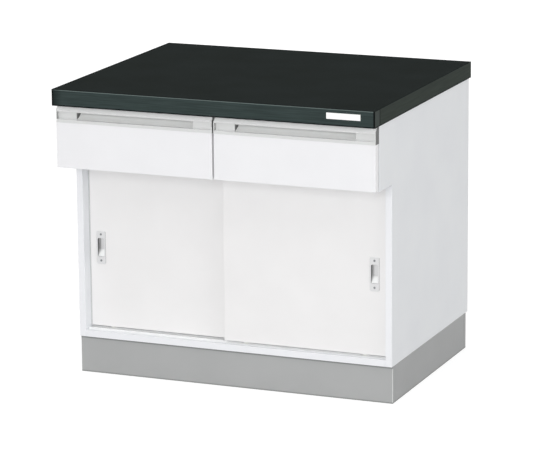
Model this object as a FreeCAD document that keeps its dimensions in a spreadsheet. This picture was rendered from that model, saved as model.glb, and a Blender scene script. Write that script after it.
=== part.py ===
import FreeCAD, Part
import math
import os
import re
import Sketcher

# Laboratory bench: a black worktop on a white carcass that stands on a grey plinth.
# Two drawers hang under the worktop, and two sliding doors close the cupboard below.
# Millimetres. X runs to the right, Y to the back and Z up; the origin is on the floor,
# under the middle of the worktop. The front of the bench faces minus Y.

doc = FreeCAD.newDocument("LaboratoryBench")
sheet = doc.addObject("Spreadsheet::Sheet", "Sizes")

SIZES = {
    # Worktop
    "top_width": 900,
    "top_depth": 750,
    "bench_height": 800,
    "top_thickness": 44,
    "laminate": 1.2,
    "edge_band": 2,
    "nosing_depth": 36,
    "label_width": 92,
    "label_height": 16,
    "label_thickness": 0.8,
    "label_inset": 39,
    "label_drop": 10.8,
    "label_clear": 0.1,
    # Carcass
    "side_overhang": 2.5,
    "back_overhang": 10,
    "front_overhang": 39.5,
    "upper_projection": 91.5,
    "panel": 18,
    "drawer_bay": 135,
    "rail_width": 80,
    "rail_scoop_gap": 2,
    "back_thickness": 5.5,
    "groove_depth": 6,
    "groove_clear": 0.25,
    "back_rail_height": 80,
    # Screws up into the worktop
    "screw_radius": 2,
    "screw_length": 35,
    "screw_head_radius": 4,
    "screw_head_height": 2.5,
    "screw_clear": 0.15,
    "screw_tip_room": 2,
    "screw_inset": 60,
    # Plinth
    "plinth_height": 100,
    "plinth_front_set_back": 7,
    "plinth_back_set_back": 15,
    "corner_block": 35,
    "corner_block_lift": 10,
    # Shelf and its pins
    "shelf_side_gap": 1,
    "shelf_back_gap": 2,
    "shelf_door_gap": 14,
    "pin_radius": 2.4,
    "pin_hole_clear": 0.1,
    "pin_hole_depth": 9,
    "pin_tip_room": 1,
    "pin_tab_length": 10,
    "pin_tab_width": 10,
    "pin_tab_drop": 6,
    "pin_tab_cover": 0.6,
    "pin_first_row": 150,
    "pin_pitch": 32,
    "pin_column_inset": 45,
    # Drawer fronts and their handles
    "front_board": 22,
    "front_air": 2.5,
    "front_gap": 5,
    "front_reveal": 1.5,
    "front_lift": 3.5,
    "handle_air": 3,
    "handle_height": 43,
    "handle_rear_clear": 0.5,
    "handle_wall": 2,
    "lower_lip": 8,
    "band_set_back": 8,
    "bevel_height": 12,
    "bevel_depth": 11,
    "lip_tip": 3,
    "window_drop": 1.5,
    "grip_end": 56,
    "scoop_depth": 30,
    "scoop_wall": 2,
    "cap_thickness": 2,
    "cap_plug": 12,
    "cap_plug_clear": 0.3,
    # Drawer boxes
    "box_board": 12,
    "box_length": 550,
    "box_lift": 11,
    "box_top_gap": 8,
    "box_groove_lift": 10,
    "box_groove_depth": 5,
    "box_bottom": 5.5,
    # Drawer runners
    "runner_space": 12.5,
    "runner_steel": 1.2,
    "runner_lift": 3,
    "runner_set_back": 3,
    "runner_end_gap": 4.5,
    "flange_gap": 1.1,
    "channel_play": 1.5,
    "arm_gap": 2.5,
    "arm_web": 20,
    "wheel_radius": 8,
    "axle_end_gap": 1.9,
    "wheel_rim_break": 0.6,
    "wheel_side_gap": 1.4,
    "wheel_inset": 13,
    "rolling_clear": 0.3,
    "axle_radius": 2,
    "axle_clear": 0.08,
    "ear_length": 22,
    "ear_drop": 5,
    # Sliding doors
    "door_board": 18,
    "door_gap": 4,
    "door_set_back": 13,
    "door_lift": 6.5,
    "door_top_gap": 2,
    "door_overlap": 57.6,
    "buffer": 3,
    "buffer_clear": 0.3,
    "track_plate": 1.2,
    "track_margin": 1,
    "track_end_gap": 0.5,
    "ridge_width": 3,
    "ridge_height": 1.8,
    "channel_plate": 2,
    "channel_depth": 10,
    "channel_wall": 1.2,
    "guide_thickness": 5,
    "guide_clear": 0.5,
    "guide_length": 24,
    "guide_block": 10,
    "guide_block_depth": 10,
    "guide_reach": 10,
    "roller_groove_radius": 8.7,
    "roller_rim": 1.3,
    "roller_width": 7,
    "roller_groove_clear": 0.3,
    "roller_inset": 60,
    "roller_side_gap": 0.4,
    "roller_top_gap": 2,
    "housing_wall": 2.1,
    "housing_length": 30,
    "housing_end_gap": 1.5,
    "housing_clear": 0.2,
    # Flush pulls in the doors
    "pull_inset": 31,
    "pull_height": 224,
    "pull_plate_width": 26,
    "pull_plate_length": 91,
    "pull_plate": 1.2,
    "pull_corner": 4,
    "cup_width": 19,
    "cup_length": 50,
    "cup_depth": 9,
    "cup_wall": 0.8,
    "cup_clear": 0.3,
    "pull_screw_spacing": 72,
    "pull_screw_radius": 1.4,
    "pull_screw_length": 11,
    "pull_screw_head_radius": 3,
    "pull_screw_head": 1.3,
    "pull_screw_clear": 0.15,
    "pull_screw_slot": 0.7,
    "pull_screw_slot_depth": 0.8,
    # How far a cutting shape runs past the solid that it cuts
    "overrun": 1,
}

# Rows of shelf pin holes, and the row that holds the shelf
PIN_ROWS = 7
SHELF_ROW = 2

for row, (alias, value) in enumerate(SIZES.items(), start=1):
    sheet.set(f"A{row}", alias)
    sheet.set(f"B{row}", str(value))
    sheet.setAlias(f"B{row}", alias)
doc.recompute()

nodes = []


def worded(expression):
    """Put the sheet's name before every alias in an expression."""
    return re.sub(r"[a-z_]+", lambda found: "Sizes." + found.group(), expression)


def bind(thing, prop, expression):
    """Tie one property of a document object to an expression of the sheet's sizes."""
    thing.setExpression(prop, worded(expression))


def place(thing, x="0", y="0", z="0"):
    """Tie an object's place to three expressions."""
    bind(thing, "Placement.Base.x", x)
    bind(thing, "Placement.Base.y", y)
    bind(thing, "Placement.Base.z", z)


def node(label, thing):
    """Name a finished sub-part; its label is the name of its file."""
    thing.Label = label
    nodes.append(thing)
    return thing


def block(x_low, x_high, y_low, y_high, z_low, z_high):
    """A rectangular board between six planes."""
    made = doc.addObject("Part::Box", "block")
    bind(made, "Length", f"({x_high}) - ({x_low})")
    bind(made, "Width", f"({y_high}) - ({y_low})")
    bind(made, "Height", f"({z_high}) - ({z_low})")
    place(made, x_low, y_low, z_low)
    return made


def rod(direction, x, y, z, radius, length):
    """A round bar that starts at a point and runs along a direction."""
    made = doc.addObject("Part::Cylinder", "rod")
    bind(made, "Radius", radius)
    bind(made, "Height", length)
    turn = FreeCAD.Rotation(FreeCAD.Vector(0, 0, 1), FreeCAD.Vector(*direction))
    made.Placement = FreeCAD.Placement(FreeCAD.Vector(0, 0, 0), turn)
    place(made, x, y, z)
    return made


def group(members):
    """Several separate solids that share one node."""
    made = doc.addObject("Part::Compound", "group")
    made.Links = members
    return made


def fuse(members):
    """One solid from several that touch."""
    made = doc.addObject("Part::MultiFuse", "fuse")
    made.Shapes = members
    made.Refine = True
    return made


def cut(base, tools):
    """A solid with other shapes cut out of it."""
    made = doc.addObject("Part::Cut", "cut")
    made.Base = base
    made.Tool = tools[0] if len(tools) == 1 else group(tools)
    return made


def mirrored(source):
    """The same shape on the other side of the plane X = 0."""
    made = doc.addObject("Part::Mirroring", "mirrored")
    made.Source = source
    made.Normal = FreeCAD.Vector(1, 0, 0)
    return made


def new_sketch(body, plane):
    """An empty sketch on one of a body's own origin planes."""
    sketch = body.newObject("Sketcher::SketchObject", "outline")
    role = plane + "_Plane"
    planes = [feature for feature in body.Origin.OriginFeatures if feature.Role == role]
    sketch.AttachmentSupport = [(planes[0], "")]
    sketch.MapMode = "FlatFace"
    return sketch


def pin_point(sketch, geometry, position, across, up, start):
    """Fix a sketch point at two signed distances from the sketch's origin."""
    for kind, expression, guess in (("DistanceX", across, start.x), ("DistanceY", up, start.y)):
        index = sketch.addConstraint(Sketcher.Constraint(kind, -1, 1, geometry, position, guess))
        bind(sketch, f"Constraints[{index}]", expression)


def outline(body, plane, points):
    """A closed sketch of straight lines through points given as pairs of expressions."""
    sketch = new_sketch(body, plane)
    count = len(points)
    starts = []
    for step in range(count):
        angle = 2 * math.pi * step / count
        starts.append(FreeCAD.Vector(math.cos(angle), math.sin(angle), 0))
    for step in range(count):
        sketch.addGeometry(Part.LineSegment(starts[step], starts[(step + 1) % count]), False)
    for step in range(count):
        sketch.addConstraint(Sketcher.Constraint("Coincident", step, 2, (step + 1) % count, 1))
    for step, (across, up) in enumerate(points):
        pin_point(sketch, step, 1, across, up, starts[step])
    return sketch


def circles(body, plane, centres, radius):
    """A sketch of equal circles at centres given as pairs of expressions."""
    sketch = new_sketch(body, plane)
    for step, (across, up) in enumerate(centres):
        start = FreeCAD.Vector(step, step, 0)
        sketch.addGeometry(Part.Circle(start, FreeCAD.Vector(0, 0, 1), 1), False)
        pin_point(sketch, step, 3, across, up, start)
        index = sketch.addConstraint(Sketcher.Constraint("Radius", step, 1))
        bind(sketch, f"Constraints[{index}]", radius)
    return sketch


def rectangle(across_low, across_high, up_low, up_high):
    """The four corners of a rectangle between four lines."""
    return [(across_low, up_low), (across_high, up_low), (across_high, up_high), (across_low, up_high)]


def pad(body, sketch, length, reverse=False):
    """Raise a sketch into a solid."""
    made = body.newObject("PartDesign::Pad", "pad")
    made.Profile = sketch
    made.Reversed = reverse
    bind(made, "Length", length)
    return made


def pocket(body, sketch, length, reverse=False):
    """Sink a sketch into a solid, and make sure that it removed something."""
    doc.recompute()
    before = body.Shape.Volume
    made = body.newObject("PartDesign::Pocket", "pocket")
    made.Profile = sketch
    made.Reversed = reverse
    bind(made, "Length", length)
    doc.recompute()
    if body.Shape.Volume >= before:
        raise RuntimeError(f"a pocket of {body.Label} cuts nothing")
    return made


def prism(plane, points, length, reverse=False):
    """A body that is one outline raised to a length."""
    body = doc.addObject("PartDesign::Body", "prism")
    pad(body, outline(body, plane, points), length, reverse)
    return body


def turned(plane, points):
    """A body that is one outline turned about the sketch's horizontal axis."""
    body = doc.addObject("PartDesign::Body", "turned")
    sketch = outline(body, plane, points)
    made = body.newObject("PartDesign::Revolution", "turning")
    made.Profile = sketch
    made.ReferenceAxis = (sketch, ["H_Axis"])
    return body


# Planes that several pieces share, each worked out from the sheet's sizes
worktop_front = "(-top_depth / 2)"
worktop_back = "(top_depth / 2)"
under_top = "(bench_height - top_thickness)"
body_half = "(top_width / 2 - side_overhang)"
inner_half = "(top_width / 2 - side_overhang - panel)"
body_back = "(top_depth / 2 - back_overhang)"
upper_front = f"({worktop_front} + front_overhang)"
body_front = f"({upper_front} + upper_projection)"
back_rear = f"({body_back} - panel)"
back_front = f"({back_rear} - back_thickness)"
floor_top = "(plinth_height + panel)"
rail_under = f"({under_top} - panel)"
deck_top = f"({rail_under} - drawer_bay)"
deck_under = f"({deck_top} - panel)"
face = f"({upper_front} - front_air - front_board)"
web_back = "(band_set_back + handle_wall)"
scoop_back = f"({face} + {web_back} + scoop_depth + scoop_wall)"


# Worktop: a core board under a laminate sheet, with a solid nosing along the front
# and thin bands on its other edges. A bare label plate lies flush in the nosing.
core_half = "(top_width / 2 - edge_band)"
nosing_back = f"({worktop_front} + nosing_depth)"
laminate_under = "(bench_height - laminate)"
front_rail_front = f"({scoop_back} + rail_scoop_gap)"
front_rail_back = f"({front_rail_front} + rail_width)"
back_rail_front = f"({back_front} - rail_width)"
screw_rows = (f"({front_rail_front} + rail_width / 2)", f"({back_rail_front} + rail_width / 2)")
screw_columns = (f"({inner_half} - screw_inset)", "(panel / 2 + screw_inset)")
screw_places = []
for column in screw_columns:
    for sign in ("-1 * ", ""):
        for screw_row in screw_rows:
            screw_places.append((sign + column, screw_row))


def screw_holes(places, z, length):
    """Round holes a little wider than the worktop screws."""
    return [rod((0, 0, 1), x, y, z, "screw_radius + screw_clear", length) for x, y in places]


core = block("-1 * " + core_half, core_half, nosing_back, f"{worktop_back} - edge_band",
             under_top, laminate_under)
core_hole_start = f"{under_top} - overrun"
core_hole_length = "screw_length - panel + screw_tip_room + overrun"
node("worktop_core", cut(core, screw_holes(screw_places, core_hole_start, core_hole_length)))

node("worktop_laminate", block("-top_width / 2", "top_width / 2", worktop_front, worktop_back,
                               laminate_under, "bench_height"))

label_right = "(top_width / 2 - label_inset)"
label_left = f"({label_right} - label_width)"
label_top = "(bench_height - label_drop)"
label_bottom = f"({label_top} - label_height)"
label_back = f"({worktop_front} + label_thickness)"
nosing = block("-top_width / 2", "top_width / 2", worktop_front, nosing_back, under_top, laminate_under)
label_seat = block(f"{label_left} - label_clear", f"{label_right} + label_clear",
                   f"{worktop_front} - overrun", label_back,
                   f"{label_bottom} - label_clear", f"{label_top} + label_clear")
node("worktop_nosing", cut(nosing, [label_seat]))
node("label_plate", block(label_left, label_right, worktop_front, label_back, label_bottom, label_top))

side_band = block(core_half, "top_width / 2", nosing_back, worktop_back, under_top, laminate_under)
back_band = block("-1 * " + core_half, core_half, f"{worktop_back} - edge_band", worktop_back,
                  under_top, laminate_under)
node("worktop_edge_bands", group([side_band, mirrored(side_band), back_band]))

screws = []
for screw_x, screw_y in screw_places:
    shank = rod((0, 0, 1), screw_x, screw_y, rail_under, "screw_radius", "screw_length")
    head = rod((0, 0, -1), screw_x, screw_y, rail_under, "screw_head_radius", "screw_head_height")
    screws.append(fuse([shank, head]))
node("worktop_screws", group(screws))


# Plinth: four boards on edge with a block glued into each corner.
plinth_front = f"({body_front} + plinth_front_set_back)"
plinth_back = f"({body_back} - plinth_back_set_back)"
plinth_inner_front = f"({plinth_front} + panel)"
plinth_inner_back = f"({plinth_back} - panel)"
node("plinth_front", block("-1 * " + body_half, body_half, plinth_front, plinth_inner_front,
                           "0", "plinth_height"))
node("plinth_back", block("-1 * " + body_half, body_half, plinth_inner_back, plinth_back,
                          "0", "plinth_height"))
plinth_side = block(inner_half, body_half, plinth_inner_front, plinth_inner_back, "0", "plinth_height")
node("plinth_sides", group([plinth_side, mirrored(plinth_side)]))
corner_blocks = []
for corner_front, corner_back in ((plinth_inner_front, f"{plinth_inner_front} + corner_block"),
                                  (f"{plinth_inner_back} - corner_block", plinth_inner_back)):
    corner = block(f"{inner_half} - corner_block", inner_half, corner_front, corner_back,
                   "corner_block_lift", "plinth_height")
    corner_blocks += [corner, mirrored(corner)]
node("plinth_corner_blocks", group(corner_blocks))


# Side panels: the upper part stands forward to the drawer fronts, the lower part is set
# back. Each has a groove for the back panel and two columns of shelf pin holes.
door_front = f"({body_front} + door_set_back)"
rear_door_front = f"({door_front} + door_board + door_gap)"
shelf_front = f"({rear_door_front} + door_board + shelf_door_gap)"
shelf_back = f"({back_front} - shelf_back_gap)"
pin_columns = (f"({shelf_front} + pin_column_inset)", f"({shelf_back} - pin_column_inset)")


def pin_row_height(row):
    """The height of one row of shelf pin holes."""
    return f"({floor_top} + pin_first_row + {row} * pin_pitch)"


panel_corners = [(body_front, "plinth_height"), (body_back, "plinth_height"), (body_back, under_top),
                 (upper_front, under_top), (upper_front, deck_under), (body_front, deck_under)]
side_panel = prism("YZ", panel_corners, "panel")
groove = rectangle(f"{back_front} - groove_clear", f"{back_rear} + groove_clear", floor_top, under_top)
pocket(side_panel, outline(side_panel, "YZ", groove), "groove_depth", reverse=True)
pin_centres = []
for pin_column in pin_columns:
    for pin_row in range(PIN_ROWS):
        pin_centres.append((pin_column, pin_row_height(pin_row)))
pin_holes = circles(side_panel, "YZ", pin_centres, "pin_radius + pin_hole_clear")
pocket(side_panel, pin_holes, "pin_hole_depth", reverse=True)
place(side_panel, x=inner_half)
node("side_panel_right", side_panel)
node("side_panel_left", mirrored(side_panel))


# Boards between the side panels: cupboard floor, the deck under the drawers, the divider
# between them, the rails that carry the worktop, and the back with its two rear rails.
inner_left = "-1 * " + inner_half
node("bottom_panel", block(inner_left, inner_half, body_front, body_back, "plinth_height", floor_top))
node("drawer_deck", block(inner_left, inner_half, upper_front, back_front, deck_under, deck_top))
node("drawer_divider", block("-panel / 2", "panel / 2", upper_front, back_front, deck_top, rail_under))


def top_rail(front, back, row):
    """A flat rail under the worktop with its screw holes."""
    rail = block(inner_left, inner_half, front, back, rail_under, under_top)
    places = [spot for spot in screw_places if spot[1] == row]
    return cut(rail, screw_holes(places, f"{rail_under} - overrun", "panel + 2 * overrun"))


node("top_rail_front", top_rail(front_rail_front, front_rail_back, screw_rows[0]))
node("top_rail_back", top_rail(back_rail_front, back_front, screw_rows[1]))

back_half = f"({inner_half} + groove_depth - groove_clear)"
node("back_panel", block("-1 * " + back_half, back_half, back_front, back_rear, floor_top, under_top))
lower_rail = block(inner_left, inner_half, back_rear, body_back, floor_top,
                   f"{floor_top} + back_rail_height")
upper_rail = block(inner_left, inner_half, back_rear, body_back, f"{under_top} - back_rail_height",
                   under_top)
node("back_rails", group([lower_rail, upper_rail]))


# Shelf: a loose board that rests on four pins pushed into the side panels.
shelf_half = f"({inner_half} - shelf_side_gap)"
pin_height = pin_row_height(SHELF_ROW)
shelf_under = f"({pin_height} + pin_radius + pin_tab_cover)"
node("shelf", block("-1 * " + shelf_half, shelf_half, shelf_front, shelf_back, shelf_under,
                    f"{shelf_under} + panel"))
pins = []
for pin_column in pin_columns:
    pin_start = f"{inner_half} + pin_hole_depth - pin_tip_room"
    stem = rod((-1, 0, 0), pin_start, pin_column, pin_height, "pin_radius",
               "pin_hole_depth - pin_tip_room + pin_tab_length / 2")
    tab = block(f"{inner_half} - pin_tab_length", inner_half, f"{pin_column} - pin_tab_width / 2",
                f"{pin_column} + pin_tab_width / 2", f"{pin_height} - pin_tab_drop", shelf_under)
    pin = fuse([stem, tab])
    pins += [pin, mirrored(pin)]
node("shelf_pins", group(pins))


# Tracks of the sliding doors. The lower one is a strip with a ridge under each door, and
# the upper one hangs from the deck with a channel over each door.
track_front = f"({door_front} - track_margin)"
track_back = f"({rear_door_front} + door_board + track_margin)"
door_middles = {"right": f"({door_front} + door_board / 2)",
                "left": f"({rear_door_front} + door_board / 2)"}
track_length = f"2 * ({inner_half} - track_end_gap)"
track_start = f"track_end_gap - {inner_half}"
ridge_top = "(track_plate + ridge_height)"
lower_points = [(track_front, "0"), (track_front, "track_plate")]
for side in ("right", "left"):
    ridge_front = f"{door_middles[side]} - ridge_width / 2"
    ridge_back = f"{door_middles[side]} + ridge_width / 2"
    lower_points += [(ridge_front, "track_plate"), (ridge_front, ridge_top),
                     (ridge_back, ridge_top), (ridge_back, "track_plate")]
lower_points += [(track_back, "track_plate"), (track_back, "0")]
lower_track = prism("YZ", lower_points, track_length)
place(lower_track, x=track_start, z=floor_top)
node("door_track_lower", lower_track)

channel_half = "(guide_thickness / 2 + guide_clear)"
upper_points = [(track_front, "0"), (track_front, "-channel_plate")]
for side in ("right", "left"):
    middle = door_middles[side]
    for outer, inner in ((f"{middle} - {channel_half} - channel_wall", f"{middle} - {channel_half}"),
                         (f"{middle} + {channel_half}", f"{middle} + {channel_half} + channel_wall")):
        upper_points += [(outer, "-channel_plate"), (outer, "-channel_plate - channel_depth"),
                         (inner, "-channel_plate - channel_depth"), (inner, "-channel_plate")]
upper_points += [(track_back, "-channel_plate"), (track_back, "0")]
upper_track = prism("YZ", upper_points, track_length)
place(upper_track, x=track_start, z=deck_under)
node("door_track_upper", upper_track)


# Sliding doors: the right one runs in front of the left one. Each stands on two grooved
# rollers, is guided at its top edge, and has a flush pull beside its closing edge.
door_bottom = f"({floor_top} + door_lift)"
door_top = f"({deck_under} - channel_plate - channel_depth - door_top_gap)"
door_closed = f"({inner_half} - buffer - buffer_clear)"
pull_level = f"({floor_top} + pull_height)"
roller_level = f"({floor_top} + {ridge_top} + rolling_clear + roller_groove_radius)"
roller_rim_radius = "(roller_groove_radius + roller_rim)"
slot_half = "(roller_width / 2 + roller_side_gap)"
housing_half = f"({slot_half} + housing_wall)"
housing_top = f"({roller_level} + {roller_rim_radius} + roller_top_gap + housing_wall)"


def span(sign, near, far):
    """Low and high X of a stretch that is measured outwards from the middle."""
    if sign > 0:
        return near, far
    return f"-1 * ({far})", f"-1 * ({near})"


def flush_pull(front, middle_x):
    """A pressed plate with a cup in its middle and a screw hole above and below it."""
    body = doc.addObject("PartDesign::Body", "pull")
    plate = rectangle("-pull_plate_width / 2", "pull_plate_width / 2",
                      "-pull_plate_length / 2", "pull_plate_length / 2")
    raised = pad(body, outline(body, "XZ", plate), "pull_plate")
    doc.recompute()
    corners = []
    for index, edge in enumerate(body.Shape.Edges, start=1):
        if round(abs(edge.Curve.Direction.y)) == 1:
            corners.append(f"Edge{index}")
    rounding = body.newObject("PartDesign::Fillet", "rounding")
    rounding.Base = (raised, corners)
    bind(rounding, "Radius", "pull_corner")
    outer = rectangle("-cup_width / 2 - cup_wall", "cup_width / 2 + cup_wall",
                      "-cup_length / 2 - cup_wall", "cup_length / 2 + cup_wall")
    pad(body, outline(body, "XZ", outer), "cup_depth + cup_wall", reverse=True)
    doc.recompute()
    centres = [("0", "pull_screw_spacing / 2"), ("0", "-pull_screw_spacing / 2")]
    holes = circles(body, "XZ", centres, "pull_screw_radius + pull_screw_clear")
    pocket(body, holes, "pull_plate + overrun", reverse=True)
    hollow = block("-cup_width / 2", "cup_width / 2", "-pull_plate - overrun", "cup_depth",
                   "-cup_length / 2", "cup_length / 2")
    pull = cut(body, [hollow])
    place(pull, middle_x, front, pull_level)
    return pull


def pull_screw(front, middle_x, level):
    """A small round-headed screw with a cross in its head."""
    plate_face = f"{front} - pull_plate"
    shank = rod((0, 1, 0), middle_x, plate_face, level, "pull_screw_radius", "pull_screw_length")
    head = rod((0, -1, 0), middle_x, plate_face, level, "pull_screw_head_radius", "pull_screw_head")
    half_reach = "pull_screw_head_radius * 2 / 3"
    half_slot = "pull_screw_slot / 2"
    slots = []
    for across, up in ((half_reach, half_slot), (half_slot, half_reach)):
        slots.append(block(f"{middle_x} - {across}", f"{middle_x} + {across}",
                           f"{plate_face} - pull_screw_head - overrun",
                           f"{plate_face} - pull_screw_head + pull_screw_slot_depth",
                           f"{level} - {up}", f"{level} + {up}"))
    return cut(fuse([shank, head]), [fuse(slots)])


def sliding_door(side, sign, front):
    """One door with its rollers, guides and pull."""
    middle = door_middles[side]
    stations = [f"({sign} * ({door_closed} - roller_inset))",
                f"({sign} * (roller_inset - door_overlap / 2))"]
    x_low, x_high = span(sign, "-door_overlap / 2", door_closed)
    panel_board = block(x_low, x_high, front, f"{front} + door_board", door_bottom, door_top)
    pull_x = f"({sign} * ({door_closed} - pull_inset))"
    seats = [block(f"{pull_x} - cup_width / 2 - cup_wall - cup_clear",
                   f"{pull_x} + cup_width / 2 + cup_wall + cup_clear",
                   f"{front} - overrun", f"{front} + cup_depth + cup_wall + cup_clear",
                   f"{pull_level} - cup_length / 2 - cup_wall - cup_clear",
                   f"{pull_level} + cup_length / 2 + cup_wall + cup_clear")]
    pull_screws = []
    for up in ("pull_screw_spacing / 2", "-pull_screw_spacing / 2"):
        level = f"({pull_level} + {up})"
        seats.append(rod((0, 1, 0), pull_x, f"{front} - overrun", level,
                         "pull_screw_radius + pull_screw_clear", "pull_screw_length + overrun"))
        pull_screws.append(pull_screw(front, pull_x, level))
    housings = []
    guides = []
    for station in stations:
        seats.append(block(f"{station} - housing_length / 2 - housing_clear",
                           f"{station} + housing_length / 2 + housing_clear",
                           f"{middle} - {housing_half} - housing_clear",
                           f"{middle} + {housing_half} + housing_clear",
                           f"{door_bottom} - overrun", housing_top))
        seats.append(block(f"{station} - guide_length / 2 - housing_clear",
                           f"{station} + guide_length / 2 + housing_clear",
                           f"{middle} - guide_block / 2 - housing_clear",
                           f"{middle} + guide_block / 2 + housing_clear",
                           f"{door_top} - guide_block_depth", f"{door_top} + overrun"))
        case = block(f"{station} - housing_length / 2", f"{station} + housing_length / 2",
                     f"{middle} - {housing_half}", f"{middle} + {housing_half}", door_bottom, housing_top)
        slot_reach = f"({roller_rim_radius} + housing_end_gap)"
        slot = block(f"{station} - {slot_reach}", f"{station} + {slot_reach}",
                     f"{middle} - {slot_half}", f"{middle} + {slot_half}",
                     f"{door_bottom} - overrun", f"{housing_top} - housing_wall")
        axle = rod((0, 1, 0), station, f"{middle} - {housing_half}", roller_level, "axle_radius",
                   f"2 * {housing_half}")
        housings.append(fuse([cut(case, [slot]), axle]))
        foot = block(f"{station} - guide_length / 2", f"{station} + guide_length / 2",
                     f"{middle} - guide_block / 2", f"{middle} + guide_block / 2",
                     f"{door_top} - guide_block_depth", door_top)
        tongue = block(f"{station} - guide_length / 2", f"{station} + guide_length / 2",
                       f"{middle} - guide_thickness / 2", f"{middle} + guide_thickness / 2",
                       f"{door_top} - overrun", f"{door_top} + guide_reach")
        guides.append(fuse([foot, tongue]))
    node(f"door_panel_{side}", cut(panel_board, seats))
    node(f"door_pull_{side}", flush_pull(front, pull_x))
    node(f"pull_screws_{side}", group(pull_screws))
    node(f"roller_housings_{side}", group(housings))
    node(f"door_guides_{side}", group(guides))
    for place_name, station in zip(("outer", "inner"), stations):
        node(f"door_roller_{side}_{place_name}", door_roller(station, middle))


def door_roller(station, middle):
    """A grooved plastic roller that turns on the housing's axle."""
    bore = "(axle_radius + axle_clear)"
    half = "roller_width / 2"
    groove_half = "(ridge_width / 2 + roller_groove_clear)"
    points = [(f"-{half}", bore), (half, bore), (half, roller_rim_radius),
              (groove_half, roller_rim_radius), (groove_half, "roller_groove_radius"),
              (f"-1 * {groove_half}", "roller_groove_radius"),
              (f"-1 * {groove_half}", roller_rim_radius), (f"-{half}", roller_rim_radius)]
    roller = turned("YZ", points)
    place(roller, station, middle, roller_level)
    return roller


sliding_door("left", -1, rear_door_front)
sliding_door("right", 1, door_front)

buffers = []
for sign, front in ((-1, rear_door_front), (1, door_front)):
    x_low, x_high = span(sign, f"{inner_half} - buffer", inner_half)
    buffers.append(block(x_low, x_high, front, f"{front} + door_board", door_bottom, door_top))
node("door_buffers", group(buffers))


# Drawers. Each front carries an aluminium rail with a finger scoop let into it, and the
# box behind it rolls on steel runners.
front_back = f"({face} + front_board)"
front_bottom = f"({deck_under} + front_lift)"
handle_top = f"({under_top} - handle_air)"
handle_bottom = f"({handle_top} - handle_height)"
handle_depth = "(front_board + front_air - handle_rear_clear)"
bevel_foot = "(handle_height - bevel_height)"
bevel_slope = "(bevel_height / bevel_depth)"
lip_at_web = f"({bevel_foot} - lip_tip + {bevel_slope} * band_set_back)"
window_top = f"({lip_at_web} - window_drop)"
front_near = "(front_gap / 2)"
front_far = f"({body_half} - front_reveal)"
front_width = f"({front_far} - {front_near})"
bay_near = "(panel / 2)"
bay_middle = f"(({inner_half} + {bay_near}) / 2)"
bay_half = f"(({inner_half} - {bay_near}) / 2)"
box_half = f"({bay_half} - runner_space)"
box_inner_half = f"({box_half} - box_board)"
box_bottom_edge = f"({deck_top} + box_lift)"
box_top_edge = f"({handle_bottom} - box_top_gap)"
box_height = f"({box_top_edge} - {box_bottom_edge})"
box_end = f"({front_back} + box_length)"
groove_under = f"({box_bottom_edge} + box_groove_lift)"
groove_top = f"({groove_under} + box_bottom)"
channel_under = f"({deck_top} + runner_lift)"
axle_level = f"({channel_under} + runner_steel + rolling_clear + wheel_radius)"
arm_under = f"({axle_level} + wheel_radius + rolling_clear)"
channel_height = f"({arm_under} + 2 * runner_steel + channel_play - {channel_under})"
runner_front = f"({upper_front} + runner_set_back)"
front_axle = f"({runner_front} + wheel_inset)"
arm_end = f"({box_end} - runner_end_gap)"
rear_axle = f"({arm_end} - wheel_inset)"
channel_flange = "(runner_space - runner_steel - flange_gap)"
axle_room = "(runner_space - 2 * runner_steel - axle_end_gap)"
wheel_width = f"({axle_room} - wheel_side_gap - wheel_rim_break)"


def handle_rail(x_low):
    """The extruded rail, with a window through its web where the scoop goes in."""
    bevel_inside = f"((handle_height - handle_wall - {bevel_foot} + lip_tip) / {bevel_slope})"
    points = [("0", "0"), ("0", "lower_lip"), ("band_set_back", "lower_lip"),
              ("band_set_back", lip_at_web), ("0", f"{bevel_foot} - lip_tip"), ("0", bevel_foot),
              ("bevel_depth", "handle_height"), (handle_depth, "handle_height"),
              (handle_depth, "handle_height - handle_wall"),
              (bevel_inside, "handle_height - handle_wall"),
              (web_back, f"{lip_at_web} + {bevel_slope} * handle_wall"),
              (web_back, "handle_wall"), (handle_depth, "handle_wall"), (handle_depth, "0")]
    length = f"({front_width} - 2 * cap_thickness)"
    rail = prism("YZ", points, length)
    end = "(grip_end - cap_thickness)"
    window = block(end, f"{length} - {end}", "band_set_back", f"{web_back} + overrun",
                   "lower_lip", window_top)
    made = cut(rail, [window])
    place(made, f"{x_low} + cap_thickness", face, handle_bottom)
    return made


def handle_scoop(x_low):
    """A moulded trough behind the rail's window; its floor curves up into its back."""
    mouth = f"({window_top} - lower_lip)"
    curve = f"((scoop_depth * scoop_depth + {mouth} * {mouth}) / (2 * {mouth}))"
    start = f"({x_low} + grip_end)"
    length = f"({front_width} - 2 * grip_end)"
    troughs = []
    for wall in ("scoop_wall", "0"):
        x_start = f"{start} - {wall}"
        x_length = f"{length} + 2 * {wall}"
        around = block(x_start, f"{x_start} + {x_length}", f"{face} + {web_back}",
                       f"{face} + {web_back} + scoop_depth + {wall}",
                       f"{handle_bottom} + lower_lip - {wall}", f"{handle_bottom} + {window_top} + {wall}")
        bend = rod((1, 0, 0), x_start, f"{face} + {web_back}",
                   f"{handle_bottom} + lower_lip + {curve}", f"{curve} + {wall}", x_length)
        trough = doc.addObject("Part::Common", "trough")
        trough.Base = around
        trough.Tool = bend
        troughs.append(trough)
    return cut(troughs[0], [troughs[1]])


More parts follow.
